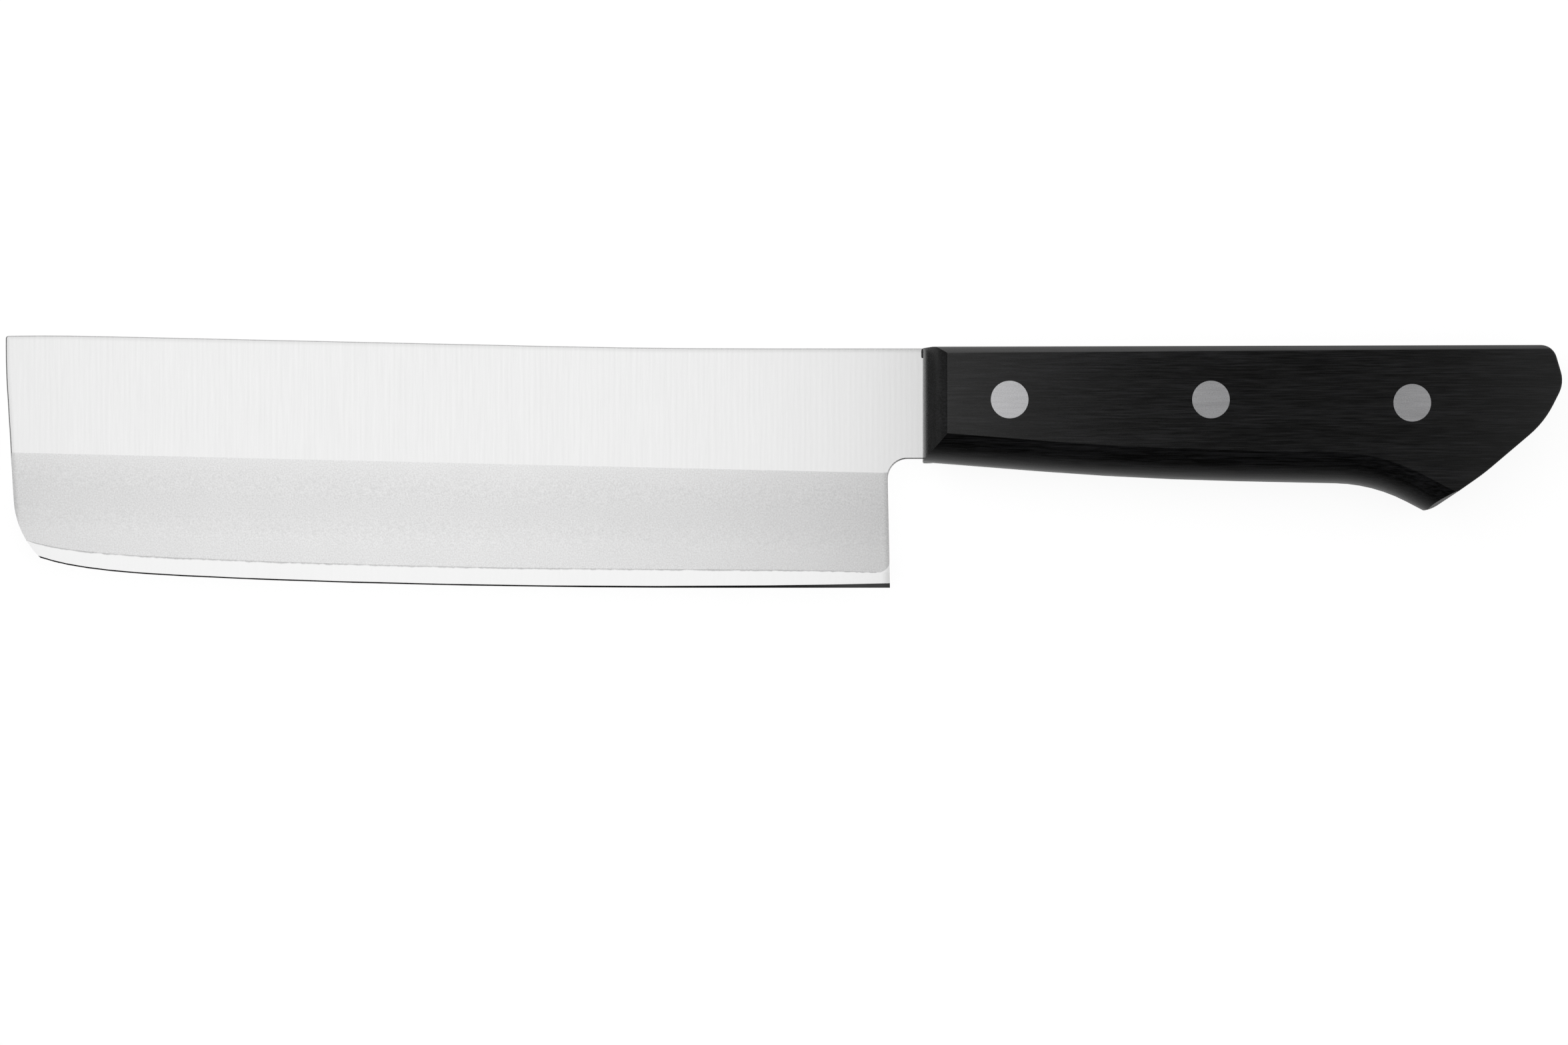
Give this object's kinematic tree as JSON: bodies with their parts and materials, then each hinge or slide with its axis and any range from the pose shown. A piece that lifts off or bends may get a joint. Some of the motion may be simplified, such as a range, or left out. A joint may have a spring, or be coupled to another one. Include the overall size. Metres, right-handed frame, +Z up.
{
  "type": "nakiri knife",
  "caption": "Flat-edged vegetable knife: a tall layered steel blade with a blunt nose, on a full tang between dark laminated wood scales with flush rivets.",
  "frame": {"origin": "on the table, under the middle of the box round the knife as it lies on its right side", "axes": "+X from nose to butt, +Y from edge to spine, +Z up, out of the knife's left side"},
  "size_m": [0.29, 0.0472, 0.018],
  "materials": {
    "core_steel": "fine polished strip above a honed edge",
    "cladding_steel": "fine cross-brushed flats, blasted matt bevels",
    "laminated_wood": "black resin-filled laminate, smooth satin",
    "rivet_steel": "ground flush with the handle, lengthwise brushed"
  },
  "bodies": {
    "root": {"blade_core": "core_steel", "left_cladding": "cladding_steel", "right_cladding": "cladding_steel", "left_scale": "laminated_wood", "right_scale": "laminated_wood", "front_rivet_sleeve": "rivet_steel", "front_rivet_stud": "rivet_steel", "middle_rivet_sleeve": "rivet_steel", "middle_rivet_stud": "rivet_steel", "rear_rivet_sleeve": "rivet_steel", "rear_rivet_stud": "rivet_steel"}
  },
  "joints": []
}
